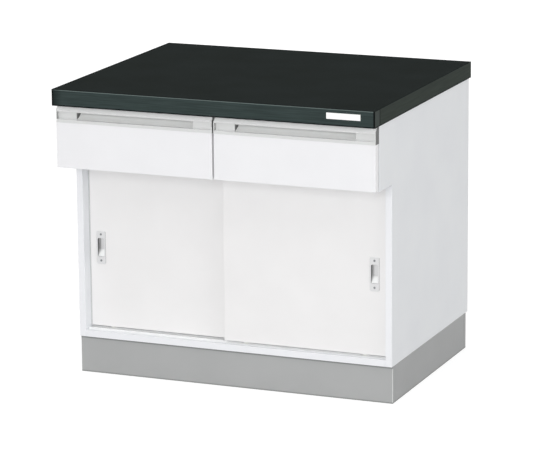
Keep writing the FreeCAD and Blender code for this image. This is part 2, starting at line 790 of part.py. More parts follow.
def handle_caps(x_low, x_high):
    """Two moulded end caps, each with a plug that fills the end of the rail."""
    points = [("0", "0"), ("0", bevel_foot), ("bevel_depth", "handle_height"),
              (handle_depth, "handle_height"), (handle_depth, "0")]
    caps = []
    for start, plug_start in ((x_low, f"{x_low} + cap_thickness"),
                              (f"{x_high} - cap_thickness", f"{x_high} - cap_thickness - cap_plug")):
        plate = prism("YZ", points, "cap_thickness")
        place(plate, start, face, handle_bottom)
        plug = block(plug_start, f"{plug_start} + cap_plug", f"{face} + {web_back} + cap_plug_clear",
                     f"{face} + {handle_depth} - cap_plug_clear",
                     f"{handle_bottom} + handle_wall + cap_plug_clear", f"{handle_bottom} + {window_top}")
        caps.append(fuse([plate, plug]))
    return group(caps)


def box_side(middle, hand):
    """A side of the drawer box with a groove for the bottom along its inner face."""
    outer = f"({hand} * {box_half})"
    inner = f"({hand} * {box_inner_half})"
    groove = f"({hand} * ({box_inner_half} + box_groove_depth))"
    points = [(outer, "0"), (inner, "0"), (inner, "box_groove_lift"), (groove, "box_groove_lift"),
              (groove, "box_groove_lift + box_bottom + groove_clear"),
              (inner, "box_groove_lift + box_bottom + groove_clear"),
              (inner, box_height), (outer, box_height)]
    side = prism("XZ", points, "box_length", reverse=True)
    place(side, middle, front_back, box_bottom_edge)
    return side


def cabinet_runner(middle, hand):
    """A steel channel on the bay's wall, and the axle of its front wheel."""
    wall = f"({middle} + {hand} * {bay_half})"
    points = []
    for out, up in (("0", "0"), (channel_flange, "0"), (channel_flange, "runner_steel"),
                    ("runner_steel", "runner_steel"), ("runner_steel", f"{channel_height} - runner_steel"),
                    (channel_flange, f"{channel_height} - runner_steel"),
                    (channel_flange, channel_height), ("0", channel_height)):
        points.append((f"-1 * {hand} * ({out})", up))
    channel = prism("XZ", points, f"{arm_end} - {runner_front}", reverse=True)
    place(channel, wall, runner_front, channel_under)
    axle = rod((-hand, 0, 0), f"{wall} - {hand} * runner_steel", front_axle, axle_level,
               "axle_radius", axle_room)
    return [channel, axle]


def drawer_runner(middle, hand):
    """A steel angle on the box's side, with an ear and an axle for the rear wheel."""
    wall = f"({middle} + {hand} * {box_half})"
    arm_reach = "(runner_space - arm_gap)"
    points = []
    for out, up in (("0", "0"), (arm_reach, "0"), (arm_reach, "runner_steel"),
                    ("runner_steel", "runner_steel"), ("runner_steel", "arm_web"), ("0", "arm_web")):
        points.append((f"{hand} * ({out})", up))
    arm = prism("XZ", points, f"{arm_end} - {front_back}", reverse=True)
    place(arm, wall, front_back, arm_under)
    if hand > 0:
        ear_low, ear_high = wall, f"{wall} + runner_steel"
    else:
        ear_low, ear_high = f"{wall} - runner_steel", wall
    ear = block(ear_low, ear_high, f"{arm_end} - ear_length", arm_end,
                f"{axle_level} - ear_drop", arm_under)
    axle = rod((hand, 0, 0), wall, rear_axle, axle_level, "axle_radius",
               f"runner_steel + {axle_room}")
    return fuse([arm, ear, axle])


def runner_wheel(start, level_y, hand):
    """A small nylon wheel that turns on an axle across the bench."""
    bore = "(axle_radius + axle_clear)"
    chamfer = "wheel_radius - wheel_rim_break"
    points = []
    for out, up in (("0", bore), (wheel_width, bore), (wheel_width, chamfer),
                    (f"{wheel_width} - wheel_rim_break", "wheel_radius"),
                    ("wheel_rim_break", "wheel_radius"), ("0", chamfer)):
        points.append((f"{hand} * ({out})", up))
    wheel = turned("XZ", points)
    place(wheel, start, level_y, axle_level)
    return wheel


def drawer(side, sign):
    """One drawer with its front, handle, box, runners and wheels."""
    x_low, x_high = span(sign, front_near, front_far)
    middle = f"({sign} * {bay_middle})"
    node(f"drawer_front_{side}", block(x_low, x_high, face, front_back, front_bottom, handle_bottom))
    node(f"handle_rail_{side}", handle_rail(x_low))
    node(f"handle_scoop_{side}", handle_scoop(x_low))
    node(f"handle_caps_{side}", handle_caps(x_low, x_high))
    node(f"drawer_sides_{side}", group([box_side(middle, -1), box_side(middle, 1)]))
    node(f"drawer_back_{side}", block(f"{middle} - {box_inner_half}", f"{middle} + {box_inner_half}",
                                      f"{box_end} - box_board", box_end, groove_top, box_top_edge))
    bottom_half = f"({box_inner_half} + box_groove_depth - groove_clear)"
    node(f"drawer_bottom_{side}", block(f"{middle} - {bottom_half}", f"{middle} + {bottom_half}",
                                        front_back, box_end, groove_under, groove_top))
    node(f"cabinet_runners_{side}", group(cabinet_runner(middle, -1) + cabinet_runner(middle, 1)))
    node(f"drawer_runners_{side}", group([drawer_runner(middle, -1), drawer_runner(middle, 1)]))
    front_wheels = []
    rear_wheels = []
    for hand in (-1, 1):
        wall = f"{middle} + {hand} * {bay_half}"
        front_start = f"{wall} - {hand} * (runner_steel + wheel_side_gap)"
        front_wheels.append(runner_wheel(front_start, front_axle, -hand))
        rear_start = f"{middle} + {hand} * ({box_half} + runner_steel + wheel_side_gap)"
        rear_wheels.append(runner_wheel(rear_start, rear_axle, hand))
    node(f"front_wheels_{side}", group(front_wheels))
    node(f"rear_wheels_{side}", group(rear_wheels))


drawer("left", -1)
drawer("right", 1)

doc.recompute()
faults = []
for thing in doc.Objects:
    if "Invalid" in thing.State or "Error" in thing.State:
        faults.append(f"{thing.Label} is {thing.State}")
for thing in nodes:
    if thing.Shape.isNull() or not thing.Shape.isValid() or not thing.Shape.Solids:
        faults.append(f"{thing.Label} has no valid shape")
if faults:
    raise RuntimeError("; ".join(faults))

os.makedirs("parts", exist_ok=True)
for thing in nodes:
    thing.Shape.exportStep(f"parts/{thing.Label}.step")
print(len(nodes), "sub-parts written")
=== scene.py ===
import math
import bmesh
import bpy
import numpy as np
from mathutils import Matrix, Vector


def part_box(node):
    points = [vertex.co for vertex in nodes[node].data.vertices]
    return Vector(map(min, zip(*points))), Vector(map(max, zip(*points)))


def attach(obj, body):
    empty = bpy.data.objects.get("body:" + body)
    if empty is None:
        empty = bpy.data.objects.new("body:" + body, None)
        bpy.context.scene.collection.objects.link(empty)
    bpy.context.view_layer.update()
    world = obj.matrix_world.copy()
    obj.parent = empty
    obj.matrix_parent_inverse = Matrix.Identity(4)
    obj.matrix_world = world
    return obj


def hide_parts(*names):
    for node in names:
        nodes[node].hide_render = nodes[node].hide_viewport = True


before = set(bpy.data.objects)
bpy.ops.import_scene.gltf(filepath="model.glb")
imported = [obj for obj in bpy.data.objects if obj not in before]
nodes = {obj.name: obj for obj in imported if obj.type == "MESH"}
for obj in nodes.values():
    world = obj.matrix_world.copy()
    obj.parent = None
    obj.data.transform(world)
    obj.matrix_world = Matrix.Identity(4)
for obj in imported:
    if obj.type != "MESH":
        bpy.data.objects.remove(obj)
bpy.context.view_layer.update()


# Camera: a long lens above standing height, in front of the bench's right end, where the
# photograph was taken from. Its place and turn were fitted to the bench's corners.
photo_width = 540
focal_pixels = 3094.4
sensor_width = 36.0
sight_reach = 100
camera_place = Vector((3.0990, -7.4987, 2.2969))
camera_turn = math.radians(22.3955)
camera_dip = math.radians(13.2293)
camera_roll = math.radians(-0.5003)
lens = bpy.data.cameras.new("photo_camera")
lens.sensor_width = sensor_width
lens.lens = focal_pixels * sensor_width / photo_width
lens.clip_end = sight_reach
camera = bpy.data.objects.new("photo_camera", lens)
bpy.context.scene.collection.objects.link(camera)
aim = Matrix.Rotation(camera_turn, 4, "Z") @ Matrix.Rotation(math.pi / 2 - camera_dip, 4, "X")
camera.matrix_world = Matrix.Translation(camera_place) @ aim @ Matrix.Rotation(camera_roll, 4, "Z")
bpy.context.scene.camera = camera


# Studio: a plain pale floor that runs out of sight, an even white room and four large
# soft lamps. The room is white to the camera and to reflections, and dimmer as a light.
room_light = 0.596
floor_reach = 40
floor_glow = 0.835
floor_shade = "8C8C8C"
floor_bounce = "C5C5C5"
bench_middle = (0, 0, 0.4)
bpy.context.scene.view_settings.view_transform = "Standard"


def linear(colour):
    """Turn an sRGB hex value into linear red, green, blue and an alpha of one."""
    parts = [int(colour[at:at + 2], 16) / 255 for at in (0, 2, 4)]
    return [part / 12.92 if part <= 0.04045 else ((part + 0.055) / 1.055) ** 2.4
            for part in parts] + [1]


def add_node(tree, kind, settings=None, links=None):
    """Add a shader node, set its properties or inputs by name, and link other nodes into it."""
    made = tree.nodes.new("ShaderNode" + kind)
    for key, value in (settings or {}).items():
        if isinstance(key, str) and key not in made.inputs:
            setattr(made, key, value)
        else:
            made.inputs[key].default_value = value
    for key, source in (links or {}).items():
        tree.links.new(source, made.inputs[key])
    return made


def seen_directly(tree):
    """One for rays from the camera, from a mirror or through glass, and nought for the others."""
    path = add_node(tree, "LightPath")
    mirrored = add_node(tree, "Math", {"operation": "ADD"},
                        {0: path.outputs["Is Camera Ray"], 1: path.outputs["Is Glossy Ray"]})
    total = add_node(tree, "Math", {"operation": "ADD", "use_clamp": True},
                     {0: mirrored.outputs[0], 1: path.outputs["Is Transmission Ray"]})
    return total.outputs[0]


room = bpy.data.worlds.new("white_room")
room.use_nodes = True
room.node_tree.nodes.clear()
backdrop = add_node(room.node_tree, "Background", {"Color": (1, 1, 1, 1), "Strength": 1.0})
ambient = add_node(room.node_tree, "Background", {"Color": (1, 1, 1, 1), "Strength": room_light})
room_mix = add_node(room.node_tree, "MixShader", None,
                    {0: seen_directly(room.node_tree), 1: ambient.outputs[0],
                     2: backdrop.outputs[0]})
add_node(room.node_tree, "OutputWorld", None, {"Surface": room_mix.outputs[0]})
bpy.context.scene.world = room

floor_mesh = bpy.data.meshes.new("studio_floor")
corners = [(-floor_reach, -floor_reach, 0), (floor_reach, -floor_reach, 0),
           (floor_reach, floor_reach, 0), (-floor_reach, floor_reach, 0)]
floor_mesh.from_pydata(corners, [], [(0, 1, 2, 3)])
floor = bpy.data.objects.new("studio_floor", floor_mesh)
bpy.context.scene.collection.objects.link(floor)
paper = bpy.data.materials.new("studio_paper")
paper.use_nodes = True
paper.node_tree.nodes.clear()
glow = add_node(paper.node_tree, "Emission", {"Color": (1, 1, 1, 1), "Strength": floor_glow})
shade = add_node(paper.node_tree, "BsdfDiffuse", {"Color": linear(floor_shade)})
shown = add_node(paper.node_tree, "AddShader", None, {0: glow.outputs[0], 1: shade.outputs[0]})
bounce = add_node(paper.node_tree, "BsdfDiffuse", {"Color": linear(floor_bounce)})
paper_mix = add_node(paper.node_tree, "MixShader", None,
                     {0: seen_directly(paper.node_tree), 1: bounce.outputs[0], 2: shown.outputs[0]})
add_node(paper.node_tree, "OutputMaterial", None, {"Surface": paper_mix.outputs[0]})
floor_mesh.materials.append(paper)


def soft_lamp(name, place, size, power):
    """A square soft box that faces the bench; it gives light and isn't seen itself."""
    data = bpy.data.lights.new(name, "AREA")
    data.size = size
    data.energy = power
    lamp = bpy.data.objects.new(name, data)
    bpy.context.scene.collection.objects.link(lamp)
    lamp.location = place
    lamp.rotation_euler = (Vector(bench_middle) - Vector(place)).to_track_quat("-Z", "Y").to_euler()
    lamp.visible_camera = False
    lamp.visible_glossy = False


soft_lamp("front_box", place=(0.5, -5.4, 1.3), size=2.8, power=141)
soft_lamp("side_box", place=(8.0, -2.4, 1.8), size=4.0, power=142)
soft_lamp("top_box", place=(0, -2.0, 4.0), size=3.0, power=29)
soft_lamp("back_box", place=(-3.0, 6.0, 1.8), size=4.0, power=190)


# Plinth: four boards on edge, faced with mid grey melamine and glued round raw chipboard
# corner blocks. Its foot stands on the floor, with the edges a little eased.
plinth_boards = ["plinth_front", "plinth_back", "plinth_sides"]
plinth_low, plinth_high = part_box("plinth_front")
plinth_tones = ("A2A3A3", "A6A7A7")
plinth_roughness = 0.5
plinth_ease = 0.0012
cloud_size = 0.12
cloud_contrast = (0.3, 0.7)
pearl_size = 0.0022
pearl_height = 0.0002
sheen_swing = 0.06
painted_corner_highlight = "D6D8D7"
arris_turn = 0.3
painted_foot_shade = "868886"
foot_height = 0.005
shaded_joint = "7E8180"
joint_height = 0.007
chip_tones = ("9C7B52", "C8A877")
chip_roughness = 0.85
chip_size = 0.006
chip_height = 0.0005
weld_reach = 1e-5
flat_turn = math.radians(1)
sharp_turn = math.radians(40)


def new_material(name):
    """A material with one principled shader; returns it, its node tree, shader and object place."""
    made = bpy.data.materials.new(name)
    made.use_nodes = True
    made.node_tree.nodes.clear()
    shader = add_node(made.node_tree, "BsdfPrincipled")
    add_node(made.node_tree, "OutputMaterial", None, {"Surface": shader.outputs[0]})
    place = add_node(made.node_tree, "TexCoord").outputs["Object"]
    return made, made.node_tree, shader, place


def join_up(tree, shader, colour, sheen=None, relief=None):
    """Link a colour into a shader and, where they are given, a roughness and a relief."""
    tree.links.new(colour.outputs[2], shader.inputs["Base Color"])
    if sheen:
        tree.links.new(sheen.outputs["Result"], shader.inputs["Roughness"])
    if relief:
        tree.links.new(relief.outputs["Normal"], shader.inputs["Normal"])


def lay_over(made, share, tone):
    """Lay one more colour over those that a material already has, where share is one."""
    base = made.node_tree.nodes["Principled BSDF"].inputs["Base Color"]
    colour = add_node(made.node_tree, "Mix", {"data_type": "RGBA", 7: linear(tone)},
                      {0: share, 6: base.links[0].from_socket})
    made.node_tree.links.new(colour.outputs[2], base)


def position(tree):
    """The place of a point on a piece, in metres, as its parts along X, Y and Z."""
    place = add_node(tree, "TexCoord").outputs["Object"]
    return add_node(tree, "SeparateXYZ", None, {"Vector": place}).outputs


def facing(tree):
    """The direction that a face looks in, as its parts along X, Y and Z."""
    normal = add_node(tree, "TexCoord").outputs["Normal"]
    return add_node(tree, "SeparateXYZ", None, {"Vector": normal}).outputs


def melamine(name, tones, roughness):
    """Melamine faced chipboard: printed paper pressed hot against a pearled steel plate.

    It gives an even satin colour, a faint clouding from the paper about a hand wide, and a
    fine pearl. The real pearl is under a millimetre wide, so it is drawn coarser to show.
    """
    made, tree, shader, place = new_material(name)
    cloud = add_node(tree, "TexNoise", {"Scale": 1 / cloud_size, "Detail": 3.0}, {"Vector": place})
    clouding = add_node(tree, "MapRange", {"From Min": cloud_contrast[0],
                                           "From Max": cloud_contrast[1]},
                        {"Value": cloud.outputs["Fac"]})
    colour = add_node(tree, "Mix", {"data_type": "RGBA", 6: linear(tones[0]), 7: linear(tones[1])},
                      {0: clouding.outputs["Result"]})
    pearl = add_node(tree, "TexNoise", {"Scale": 1 / pearl_size, "Detail": 2.0}, {"Vector": place})
    sheen = add_node(tree, "MapRange", {"To Min": roughness - sheen_swing,
                                        "To Max": roughness + sheen_swing},
                     {"Value": pearl.outputs["Fac"]})
    relief = add_node(tree, "Bump", {"Strength": 0.15, "Distance": pearl_height},
                      {"Height": pearl.outputs["Fac"]})
    join_up(tree, shader, colour, sheen, relief)
    return made


def plinth_facing():
    """Melamine of the plinth, with a painted highlight along its front corners.

    Painted shade darkens a line along the foot, and another along the joint with the
    carcass, on the front only, darkest at the top and fading downwards.
    """
    made = melamine("grey_melamine", plinth_tones, plinth_roughness)
    tree = made.node_tree
    spot = position(tree)
    sideways = add_node(tree, "Math", {"operation": "ABSOLUTE"}, {0: facing(tree)["X"]})
    turned = add_node(tree, "Math", {"operation": "GREATER_THAN", 1: arris_turn},
                      {0: sideways.outputs[0]})
    in_front = add_node(tree, "Math", {"operation": "LESS_THAN", 1: plinth_low.y + plinth_ease},
                        {0: spot["Y"]})
    corner = add_node(tree, "Math", {"operation": "MULTIPLY"},
                      {0: turned.outputs[0], 1: in_front.outputs[0]})
    foot = add_node(tree, "MapRange", {"From Min": foot_height, "From Max": foot_height / 2},
                    {"Value": spot["Z"]})
    at_top = add_node(tree, "MapRange", {"From Min": plinth_high.z - joint_height,
                                         "From Max": plinth_high.z - joint_height / 2},
                      {"Value": spot["Z"]})
    joint = add_node(tree, "Math", {"operation": "MULTIPLY"},
                     {0: at_top.outputs["Result"], 1: in_front.outputs[0]})
    # Painted highlight where the front corners turn.
    lay_over(made, corner.outputs[0], painted_corner_highlight)
    # Painted shade along the foot, where the plinth meets the floor.
    lay_over(made, foot.outputs["Result"], painted_foot_shade)
    # Painted shade below the joint with the carcass, on the front only.
    lay_over(made, joint.outputs[0], shaded_joint)
    return made


def raw_chipboard():
    """Unfaced chipboard: glued wood chips a few millimetres across, in two tones of straw."""
    made, tree, shader, place = new_material("raw_chipboard")
    chips = add_node(tree, "TexVoronoi", {"Scale": 1 / chip_size}, {"Vector": place})
    tint = add_node(tree, "SeparateColor", None, {"Color": chips.outputs["Color"]})
    colour = add_node(tree, "Mix", {"data_type": "RGBA", 6: linear(chip_tones[0]),
                                    7: linear(chip_tones[1])}, {0: tint.outputs["Red"]})
    relief = add_node(tree, "Bump", {"Strength": 0.4, "Distance": chip_height},
                      {"Height": chips.outputs["Distance"]})
    shader.inputs["Roughness"].default_value = chip_roughness
    join_up(tree, shader, colour, relief=relief)
    return made


def dress(names, finish):
    """Give several CAD nodes one finish."""
    for name in names:
        for holder in nodes[name].material_slots:
            holder.material = finish


def ease_edges(names, width):
    """Join the loose triangles of CAD nodes and take the sharpness off their edges."""
    for name in names:
        weld = nodes[name].modifiers.new("weld", "WELD")
        weld.merge_threshold = weld_reach
        flat = nodes[name].modifiers.new("flat", "DECIMATE")
        flat.decimate_type = "DISSOLVE"
        flat.angle_limit = flat_turn
        ease = nodes[name].modifiers.new("ease", "BEVEL")
        ease.width = width
        ease.segments = 2
        ease.limit_method = "ANGLE"
        ease.angle_limit = sharp_turn
        ease.use_clamp_overlap = False


dress(plinth_boards, plinth_facing())
ease_edges(plinth_boards, plinth_ease)
dress(["plinth_corner_blocks"], raw_chipboard())


# Carcass: stepped side panels, floor, deck, divider, rails and shelf, all of 18 mm board
# faced with white melamine and banded in white, their edges eased by a router.
front_shaded_boards = ["side_panel_left", "side_panel_right", "bottom_panel", "drawer_deck",
                 "drawer_divider", "shelf"]
plain_boards = ["top_rail_front", "top_rail_back", "back_rails"]
board_tones = ("E8EAED", "ECEEF0")
board_roughness = 0.42
board_ease = 0.001
# Painted shade: the forward-facing edges of these boards take a greyer white.
painted_front_edge_shade = "E4E5E8"
square_on = 0.7


def melamine_with_front_shade():
    """White melamine board whose forward-facing edges are painted a greyer white, as painted shade.
    """
    made = melamine("white_melamine_front_shade", board_tones, board_roughness)
    forward = add_node(made.node_tree, "Math", {"operation": "LESS_THAN", 1: -square_on},
                       {0: facing(made.node_tree)["Y"]})
    lay_over(made, forward.outputs[0], painted_front_edge_shade)
    return made


white_melamine = melamine("white_melamine", board_tones, board_roughness)
dress(front_shaded_boards, melamine_with_front_shade())
dress(plain_boards, white_melamine)
ease_edges(front_shaded_boards + plain_boards, board_ease)


# Back panel: thin hardboard held in a groove of the side panels, lacquered white in front
# and bare at the back, where the pressed brown fibres show.
lacquer_tone = "E4E4E2"
lacquer_roughness = 0.4
fibre_tones = ("94714D", "A8845C")
fibre_roughness = 0.8
fibre_size = 0.003
fibre_height = 0.0003
half_turned = 0.5


def hardboard():
    """Hardboard: wood fibres pressed into a thin hard sheet, lacquered on the face it shows.

    The bare face is a mottled brown, matt and slightly rough; the lacquer is even and satin.
    """
    made, tree, shader, place = new_material("white_hardboard")
    fibres = add_node(tree, "TexNoise", {"Scale": 1 / fibre_size, "Detail": 5.0}, {"Vector": place})
    brown = add_node(tree, "Mix", {"data_type": "RGBA", 6: linear(fibre_tones[0]),
                                   7: linear(fibre_tones[1])}, {0: fibres.outputs["Fac"]})
    rear = add_node(tree, "Math", {"operation": "GREATER_THAN", 1: half_turned},
                    {0: facing(tree)["Y"]})
    colour = add_node(tree, "Mix", {"data_type": "RGBA", 6: linear(lacquer_tone)},
                      {0: rear.outputs[0], 7: brown.outputs[2]})
    sheen = add_node(tree, "MapRange", {"To Min": lacquer_roughness, "To Max": fibre_roughness},
                     {"Value": rear.outputs[0]})
    relief = add_node(tree, "Bump", {"Strength": 0.2, "Distance": fibre_height},
                      {"Height": fibres.outputs["Fac"]})
    join_up(tree, shader, colour, sheen, relief)
    return made


white_hardboard = hardboard()
dress(["back_panel"], white_hardboard)


# Door tracks: extruded aluminium, etched and anodised to a satin silver. The lower one has
# a ridge under each door, and the upper one hangs from the deck with a channel over each.
tracks = ["door_track_lower", "door_track_upper"]
track_tones = ("E8E9EA", "EEEFF0")
track_metal = 0.2
track_roughness = 0.4
track_ease = 0.0002
painted_top_light = "FAFBFB"
die_line_length = 0.25
die_line_width = 0.0012
die_line_height = 0.0001


def anodised_aluminium(name, tones, metal, roughness):
    """Anodised aluminium: etched matt and sealed, with faint die lines along the extrusion.

    The oxide layer scatters part of the light, so it reads softer than bare metal. Faces
    that look up are painted brighter, as painted light, and are not metallic. Real die lines
    are a few hundredths of a millimetre apart and are drawn coarser to show.
    """
    made, tree, shader, place = new_material(name)
    stretch = (1 / die_line_length, 1 / die_line_width, 1 / die_line_width)
    drawn = add_node(tree, "Mapping", {"Scale": stretch}, {"Vector": place})
    lines = add_node(tree, "TexNoise", {"Scale": 1.0, "Detail": 2.0},
                     {"Vector": drawn.outputs["Vector"]})
    colour = add_node(tree, "Mix", {"data_type": "RGBA", 6: linear(tones[0]), 7: linear(tones[1])},
                      {0: lines.outputs["Fac"]})
    sheen = add_node(tree, "MapRange", {"To Min": roughness - sheen_swing,
                                        "To Max": roughness + sheen_swing},
                     {"Value": lines.outputs["Fac"]})
    relief = add_node(tree, "Bump", {"Strength": 0.1, "Distance": die_line_height},
                      {"Height": lines.outputs["Fac"]})
    join_up(tree, shader, colour, sheen, relief)
    # Painted light: faces that look up take a brighter tone and lose their metal.
    upward = add_node(tree, "Math", {"operation": "GREATER_THAN", 1: half_turned},
                      {0: facing(tree)["Z"]})
    lay_over(made, upward.outputs[0], painted_top_light)
    shine = add_node(tree, "MapRange", {"To Min": metal, "To Max": 0.0},
                     {"Value": upward.outputs[0]})
    tree.links.new(shine.outputs["Result"], shader.inputs["Metallic"])
    return made


dress(tracks,
      anodised_aluminium("anodised_aluminium_track", track_tones, track_metal, track_roughness))
ease_edges(tracks, track_ease)


# Sliding doors: two 18 mm boards of white melamine, the right one in front, that close
# against soft rubber buffers on the side panels.
doors = ["door_panel_left", "door_panel_right"]
door_tones = ("E3E2E2", "E6E5E5")
door_roughness = 0.4
rubber_tones = ("BCBEBE", "C6C8C8")
rubber_roughness = 0.8
bloom_size = 0.02


def soft_rubber():
    """Extruded rubber strip: a dull grey that scatters light, with a faint bloom."""
    made, tree, shader, place = new_material("grey_rubber")
    bloom = add_node(tree, "TexNoise", {"Scale": 1 / bloom_size, "Detail": 4.0}, {"Vector": place})
    colour = add_node(tree, "Mix", {"data_type": "RGBA", 6: linear(rubber_tones[0]),
                                    7: linear(rubber_tones[1])}, {0: bloom.outputs["Fac"]})
    shader.inputs["Roughness"].default_value = rubber_roughness
    join_up(tree, shader, colour)
    return made


dress(doors, melamine("white_melamine_door", door_tones, door_roughness))
ease_edges(doors, board_ease)
dress(["door_buffers"], soft_rubber())


# Flush pulls: a plate and its cup pressed from one stainless steel sheet, brushed and set
# into a pocket of each door. The cup is deep above and slopes up to the plate below.
steel_tones = ("D8D8D9", "DFDFE0")
painted_ramp_highlight = "FBFCFC"
ramp_turn = (0.2, 0.4)
painted_cup_shade = "747675"
cup_shade_turn = (0.6, 0.85)
deep_from = 0.006
deep_to = 0.01
deep_shade_share = 0.12
brush_length = 0.03
brush_width = 0.0007
brush_height = 0.0001
brush_roughness = (0.28, 0.4)
plate_gauge = 0.0012
plate_corner = 0.004
plate_ease = 0.0003
cup_gauge = 0.0008
cup_half_width = 0.0095
cup_half_length = 0.025
cup_corner = 0.003
lip_round = 0.0006
foot_round = 0.001
crease_height = -0.0055
crease_round = 0.1
shallow_depth = 0.0016
back_shares = (0.66, 0.33, 0)
wall_shares = (0.25, 0.5, 0.75, 1)
corner_steps = 7
side_steps = 24
floor_steps = 12
same_spot = 1e-6


def brushed_steel(name, front):
    """Stainless steel brushed along its length: bright, with fine strokes in colour and gloss.

    The steep walls of the drawn cup are painted dark as painted shade, and its floor is
    painted a little darker where it is deep, as painted shade. The ramp below it, which
    looks up, carries a painted highlight. Real strokes are a tenth of a millimetre wide and
    are drawn coarser to show.
    """
    made, tree, shader, place = new_material(name)
    stretch = (1 / brush_width, 1 / brush_width, 1 / brush_length)
    drawn = add_node(tree, "Mapping", {"Scale": stretch}, {"Vector": place})
    strokes = add_node(tree, "TexNoise", {"Scale": 1.0, "Detail": 2.0},
                       {"Vector": drawn.outputs["Vector"]})
    colour = add_node(tree, "Mix", {"data_type": "RGBA", 6: linear(steel_tones[0]),
                                    7: linear(steel_tones[1])}, {0: strokes.outputs["Fac"]})
    sheen = add_node(tree, "MapRange", {"To Min": brush_roughness[0], "To Max": brush_roughness[1]},
                     {"Value": strokes.outputs["Fac"]})
    relief = add_node(tree, "Bump", {"Strength": 0.15, "Distance": brush_height},
                      {"Height": strokes.outputs["Fac"]})
    shader.inputs["Metallic"].default_value = 1.0
    join_up(tree, shader, colour, sheen, relief)
    look = facing(tree)
    # Painted highlight on the faces that look up.
    ramp_highlight = add_node(tree, "MapRange", {"From Min": ramp_turn[0], "From Max": ramp_turn[1]},
                      {"Value": look["Z"]})
    lay_over(made, ramp_highlight.outputs["Result"], painted_ramp_highlight)
    # Painted shade on the cup's steep walls and, a little, on its deep floor.
    sideways = add_node(tree, "Math", {"operation": "ABSOLUTE"}, {0: look["X"]})
    down = add_node(tree, "Math", {"operation": "MULTIPLY", 1: -1.0}, {0: look["Z"]})
    steep = add_node(tree, "Math", {"operation": "MAXIMUM"},
                     {0: sideways.outputs[0], 1: down.outputs[0]})
    wall = add_node(tree, "MapRange", {"From Min": cup_shade_turn[0], "From Max": cup_shade_turn[1]},
                    {"Value": steep.outputs[0]})
    spot = position(tree)
    deep = add_node(tree, "MapRange", {"From Min": front + deep_from, "From Max": front + deep_to,
                                       "To Max": deep_shade_share}, {"Value": spot["Y"]})
    dull = add_node(tree, "Math", {"operation": "MAXIMUM"},
                    {0: wall.outputs["Result"], 1: deep.outputs["Result"]})
    lay_over(made, dull.outputs[0], painted_cup_shade)
    return made


def pull_surface(low, high):
    """The whole skin of a flush pull, as rings from the middle of its back to its front.

    Each ring is a rounded rectangle. The rings widen over the back of the cup, run up its
    outer wall, out behind the plate and round its edge, then narrow over the plate's front
    and round the lip, down the inner wall, round its foot and over the floor to its middle.
    The cup's depth is full above a crease, which is rounded by a hyperbola, and falls in a
    straight ramp below it.
    """
    middle = (low + high) / 2
    full_depth = high.y - low.y - cup_gauge
    arc = np.linspace(0, math.pi / 2, corner_steps)
    run = np.linspace(1, -1, side_steps + 2)[1:-1]
    first_spots = np.concatenate([np.ones((arc.size, 2)),
                                  np.stack([run, np.ones(run.size)], axis=1)])
    first_normals = np.concatenate([np.stack([np.cos(arc), np.sin(arc)], axis=1),
                                    np.tile((0, 1), (run.size, 1))])
    turns = [np.array([[cosine, sine], [-sine, cosine]])
             for cosine, sine in ((1, 0), (0, 1), (-1, 0), (0, -1))]
    spots = np.concatenate([first_spots @ turn for turn in turns])
    normals = np.concatenate([first_normals @ turn for turn in turns])
    cup = (cup_half_width, cup_half_length, cup_corner)
    plate = ((high.x - low.x) / 2, (high.z - low.z) / 2, plate_corner)
    rows = [(cup, cup_gauge, grow, cup_gauge, 1) for grow in np.linspace(0, 1, corner_steps)]
    rows += [(cup, cup_gauge, 1, plate_gauge * (1 - part) + cup_gauge * part, part)
             for part in back_shares]
    rows += [(plate, 0, 1, plate_gauge, 0), (plate, 0, 1, plate_ease, 0),
             (plate, -plate_ease, 1, 0, 0)]
    rows += [(cup, lip_round * (1 - math.sin(turn)), 1, lip_round * (1 - math.cos(turn)), 0)
             for turn in arc]
    rows += [(cup, 0, 1, lip_round * (1 - part) - foot_round * part, part)
             for part in wall_shares]
    rows += [(cup, -foot_round * (1 - math.cos(turn)), 1, -foot_round * (1 - math.sin(turn)), 1)
             for turn in arc[1:]]
    rows += [(cup, -foot_round, shrink, 0, 1) for shrink in np.linspace(1, 0, floor_steps + 1)[1:]]
    sizes, extras, scales, levels, shares = (np.array(column) for column in zip(*rows))
    half = (sizes + extras[:, None]) * scales[:, None]
    points = np.empty((len(rows), len(spots), 3))
    points[..., 0] = spots[:, 0] * (half[:, :1] - half[:, 2:]) + normals[:, 0] * half[:, 2:]
    points[..., 2] = spots[:, 1] * (half[:, 1:2] - half[:, 2:]) + normals[:, 1] * half[:, 2:]
    fall = (crease_height - points[..., 2]) / (crease_height + cup_half_length)
    ramp = np.clip((fall + np.sqrt(fall ** 2 + crease_round ** 2)) / 2, 0, 1)
    depth = full_depth - (full_depth - shallow_depth) * ramp
    points[..., 1] = levels[:, None] + shares[:, None] * depth
    return points + np.array((middle.x, low.y, middle.z))


def grid_mesh(name, points, closed=False):
    """A mesh from a grid of points, one row for each step of the first parameter.

    Neighbouring rows and columns make quads, and a closed grid joins its last column to its
    first. Points on one spot become one, and the faces are turned outwards.
    """
    rows, columns = points.shape[:2]
    index = np.arange(rows * columns).reshape(rows, columns)
    if closed:
        index = np.hstack([index, index[:, :1]])
    quads = np.stack([index[:-1, :-1], index[:-1, 1:], index[1:, 1:], index[1:, :-1]], axis=-1)
    mesh = bpy.data.meshes.new(name)
    mesh.from_pydata(points.reshape(-1, 3), [], quads.reshape(-1, 4).tolist())
    outward = bmesh.new()
    outward.from_mesh(mesh)
    bmesh.ops.remove_doubles(outward, verts=outward.verts, dist=same_spot)
    bmesh.ops.recalc_face_normals(outward, faces=outward.faces)
    outward.to_mesh(mesh)
    outward.free()
    mesh.shade_smooth()
    mesh.set_sharp_from_angle(angle=sharp_turn)
    return mesh


